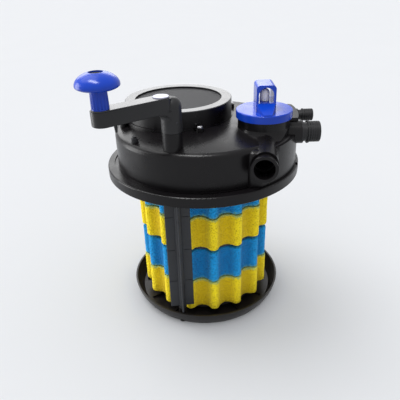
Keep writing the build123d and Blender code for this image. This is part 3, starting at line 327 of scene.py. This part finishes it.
def rubber(name, color):
    """Black rubber with a grey bloom in patches."""
    surface = Surface(name, color, 0.62, Specular_IOR_Level=0.35)
    bloom = surface.noise(60, detail=5)
    surface.color(surface.ramp(bloom, (0.3, shade(color, 0.8)), (0.75, shade(color, 1.7))))
    surface.roughness(surface.remap(bloom, 0.3, 0.7, 0.52, 0.72))
    surface.bump(surface.noise(700, detail=2), 0.25, 0.00005)
    return surface.material


def drawn_steel(name, color):
    """Stainless steel with fine lines across its axis."""
    surface = Surface(name, color, 0.28, Metallic=1.0)
    lines = surface.noise(1, detail=3, place=surface.stretched((90, 90, 2600)))
    surface.color(surface.ramp(lines, (0.3, shade(color, 0.86)), (0.7, shade(color, 1.08))))
    surface.roughness(surface.remap(lines, 0.3, 0.7, 0.2, 0.38))
    surface.bump(lines, 0.25, 0.00003)
    return surface.material


def glassy(name, color, roughness, transmission):
    """Clear or frosted glass or plastic with a faint film."""
    surface = Surface(name, color, roughness, Transmission_Weight=transmission, IOR=1.46)
    film = surface.noise(45, detail=4)
    surface.color(surface.ramp(film, (0.3, shade(color, 0.93)), (0.7, shade(color, 1.03))))
    surface.roughness(surface.remap(film, 0.3, 0.7, max(0.0, roughness - 0.04), roughness + 0.06))
    surface.bump(surface.noise(400, detail=2), 0.08, 0.00004)
    return surface.material


# Light and deep tone of each foam. The deep tone also gives the painted shade at the bottom of the grooves.
YELLOW_LIGHT, YELLOW_DEEP = (0.97, 0.77, 0.014), (0.80, 0.54, 0.005)
BLUE_LIGHT, BLUE_DEEP = (0.010, 0.34, 0.76), (0.004, 0.17, 0.48)
JOINT_GREEN = (0.16, 0.40, 0.22)

materials = {
    "head_black": moulded("head_black", (0.0035, 0.003, 0.0035), 0.30, grain_depth=0.00002,
                          Specular_IOR_Level=0.22),
    "tray_black": moulded("tray_black", (0.009, 0.0075, 0.007), 0.36, Specular_IOR_Level=0.30),
    "crank_black": moulded("crank_black", (0.010, 0.010, 0.011), 0.40, grain=1200, grain_depth=0.00007,
                           Specular_IOR_Level=0.30),
    "light_trim": moulded("light_trim", (0.030, 0.030, 0.033), 0.24, grain=1600, grain_depth=0.00001,
                          spread=0.03),
    "cover_dark": eroded("cover_dark", (0.016, 0.016, 0.018), 0.62),
    # The pale pearl colour of the cap at the crank's pivot is partly its own colour and partly a painted
    # reflection of the light on the glossy crank top.
    "cap_pearl": moulded("cap_pearl", (0.22, 0.22, 0.29), 0.22, grain=1600, grain_depth=0.00001,
                         spread=0.03),
    "blue_plastic": moulded("blue_plastic", (0.003, 0.034, 0.33), 0.22, grain=1500, grain_depth=0.00001,
                            Specular_IOR_Level=0.26),
    "lens_frosted": glassy("lens_frosted", (0.93, 0.90, 0.94), 0.32, 0.12),
    "roller_grey": moulded("roller_grey", (0.022, 0.024, 0.028), 0.42, grain=1000, grain_depth=0.00008,
                           Specular_IOR_Level=0.35),
    "foam_yellow": foam("foam_yellow", YELLOW_LIGHT, YELLOW_DEEP, JOINT_GREEN, 360, 0.42),
    "foam_blue": foam("foam_blue", BLUE_LIGHT, BLUE_DEEP, JOINT_GREEN, 350, 0.24),
    "inner_black": moulded("inner_black", (0.022, 0.022, 0.024), 0.52),
    "white_plastic": moulded("white_plastic", (0.72, 0.71, 0.67), 0.40),
    "seal_rubber": rubber("seal_rubber", (0.014, 0.014, 0.015)),
    "steel": drawn_steel("steel", (0.60, 0.60, 0.62)),
    "dark_steel": drawn_steel("dark_steel", (0.05, 0.05, 0.055)),
    "quartz": glassy("quartz", (0.93, 0.96, 0.98), 0.04, 0.95),
    "lamp_glass": glassy("lamp_glass", (0.80, 0.82, 0.95), 0.12, 0.80),
}


def dress(piece, slot):
    """Give a piece one material in every one of its slots."""
    piece.data.materials.clear()
    piece.data.materials.append(materials[slot])


def dress_cad_nodes():
    """Give every CAD node the material of its slot in the record."""
    for part in frame["record"]["subparts"]:
        dress(nodes[part["node"]], part["material_slot"])


# ---- foam rings -------------------------------------------------------------------------------
def ring_sizes(name):
    """Outer radius at every bearing, bore radius, and lower and upper height of a CAD ring."""
    points = np.array([v.co for v in nodes[name].data.vertices])
    low, high = points[:, 2].min(), points[:, 2].max()
    reach = np.hypot(points[:, 0], points[:, 1])
    bore = reach.min()
    rim = points[(np.abs(points[:, 2] - low) < SAME_LEVEL) & (reach > (bore + reach.max()) / 2)]
    turn = np.arctan2(rim[:, 1], rim[:, 0])
    bearings = np.linspace(-math.pi, math.pi, FOAM_BEARINGS, endpoint=False)
    rim_reach = np.hypot(rim[:, 0], rim[:, 1])
    outer = np.interp(bearings, turn, rim_reach, period=math.tau)
    return bearings, outer, bore, low, high


def ring_section(low, high, low_round, high_round):
    """One lap round a ring's section: (share of the way out from the bore, inset from the wall, height)."""
    lap = [(row / FOAM_CAP_ROWS, low_round, low) for row in range(FOAM_CAP_ROWS)]
    for step in range(FOAM_CORNER_ROWS):
        angle = math.pi / 2 * step / FOAM_CORNER_ROWS
        lap.append((1, low_round * (1 - math.sin(angle)), low + low_round * (1 - math.cos(angle))))
    for height in np.linspace(low + low_round, high - high_round, FOAM_LEVELS):
        lap.append((1, 0, height))
    for step in range(1, FOAM_CORNER_ROWS + 1):
        angle = math.pi / 2 * step / FOAM_CORNER_ROWS
        lap.append((1, high_round * (1 - math.cos(angle)), high - high_round * (1 - math.sin(angle))))
    lap += [(1 - row / FOAM_CAP_ROWS, high_round, high) for row in range(1, FOAM_CAP_ROWS + 1)]
    lap += [(0, 0, height) for height in np.linspace(high, low, FOAM_CORNER_ROWS + 2)[1:-1]]
    return lap


def uneven(point, seed):
    """How far cut foam stands back from its true face at a point."""
    slow = noise.noise(point * FOAM_SWELL_SCALE + Vector((seed, 0, 0)))
    torn = noise.noise(point * FOAM_GRIT_SCALE + Vector((0, seed, 0)))
    return FOAM_SWELL * (1 + slow) / 2 + FOAM_GRIT * (1 + torn) / 2


def foam_piece(name, slot, low_round, high_round, seed):
    """Detailed foam ring in the place of a plain CAD ring."""
    bearings, outer, bore, low, high = ring_sizes(name)
    lap = ring_section(low, high, low_round, high_round)
    points = []
    for bearing, reach in zip(bearings, outer):
        for share, inset, height in lap:
            radius = bore + (reach - inset - bore) * share
            point = Vector((radius * math.cos(bearing), radius * math.sin(bearing), height))
            back = uneven(point, seed) * share
            middle = (low + high) / 2
            radius -= back
            height += (middle - height) * back / (high - middle)
            points.append((radius * math.cos(bearing), radius * math.sin(bearing), height))
    count = len(lap)
    faces = []
    for i in range(FOAM_BEARINGS):
        for j in range(count):
            here, beside = i * count, (i + 1) % FOAM_BEARINGS * count
            faces.append((here + j, beside + j, beside + (j + 1) % count, here + (j + 1) % count))
    mesh = bpy.data.meshes.new(name + "_foam")
    mesh.from_pydata(points, [], faces)
    mesh.shade_smooth()
    piece = bpy.data.objects.new(name + "_foam", mesh)
    bpy.context.scene.collection.objects.link(piece)
    dress(piece, slot)
    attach(piece, "foam_stack")
    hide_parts(name)


# ---- studio -------------------------------------------------------------------------------------
def floor():
    """Pale floor that runs to the horizon."""
    mesh = bpy.data.meshes.new("floor")
    half = FLOOR_SIZE / 2
    corners = [(-half, -half, 0), (half, -half, 0), (half, half, 0), (-half, half, 0)]
    mesh.from_pydata(corners, [], [(0, 1, 2, 3)])
    plane = bpy.data.objects.new("floor", mesh)
    bpy.context.scene.collection.objects.link(plane)
    surface = Surface("floor", (0.80, 0.81, 0.825), 0.75, Specular_IOR_Level=0.1)
    tone = surface.noise(3, detail=2)
    surface.color(surface.ramp(tone, (0.2, (0.815, 0.825, 0.84)), (0.8, (0.825, 0.835, 0.85))))
    mesh.materials.append(surface.material)


def world():
    """Even light from all round."""
    sky = bpy.data.worlds.new("studio")
    sky.use_nodes = True
    background = sky.node_tree.nodes["Background"]
    background.inputs["Color"].default_value = (*WORLD_TINT, 1)
    background.inputs["Strength"].default_value = WORLD_LIGHT
    bpy.context.scene.world = sky


def lamp(kind, name, place, target, energy, **settings):
    """Light that points at a target."""
    data = bpy.data.lights.new(name, kind)
    data.energy = energy
    for key, value in settings.items():
        setattr(data, key, value)
    light = bpy.data.objects.new(name, data)
    bpy.context.scene.collection.objects.link(light)
    light.location = place
    light.rotation_mode = "QUATERNION"
    light.rotation_quaternion = (Vector(target) - Vector(place)).to_track_quat("-Z", "Y")
    return light


def softbox(name, place, width, height, radiance, target=(0, 0, 0.3)):
    """Soft rectangular light that only falls on the object, so that the floor stays even."""
    light = lamp("AREA", name, place, target, radiance * math.pi * width * height,
                 shape="RECTANGLE", size=width, size_y=height)
    light.light_linking.receiver_collection = lit_pieces


def studio():
    """Floor, world, sun and three softboxes that draw the highlights on the glossy black head."""
    floor()
    world()
    lamp("SUN", "key", SUN_PLACE, (0, 0, 0), SUN_LIGHT, angle=math.radians(SUN_ANGLE))
    softbox("back", (-0.6, 2.4, 1.45), width=2.6, height=1.2, radiance=2.6)
    softbox("left", (-1.15, 0.05, 0.45), width=0.6, height=0.9, radiance=5.5)
    softbox("above", (-0.45, -0.5, 2.6), width=1.5, height=0.5, radiance=24.0)


camera()
dress_cad_nodes()
foam_piece("foam_ring_1_yellow", "foam_yellow", FOAM_FREE_EDGE, FOAM_JOINT_EDGE, 1.7)
foam_piece("foam_ring_2_blue", "foam_blue", FOAM_JOINT_EDGE, FOAM_FREE_EDGE, 8.2)
foam_piece("foam_ring_3_yellow", "foam_yellow", FOAM_FREE_EDGE, FOAM_JOINT_EDGE, 15.4)
foam_piece("foam_ring_4_blue", "foam_blue", FOAM_JOINT_EDGE, FOAM_FREE_EDGE, 23.9)

lit_pieces = bpy.data.collections.new("lit_pieces")
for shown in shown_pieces():
    lit_pieces.objects.link(shown)
studio()
bpy.context.scene.view_settings.view_transform = "Standard"
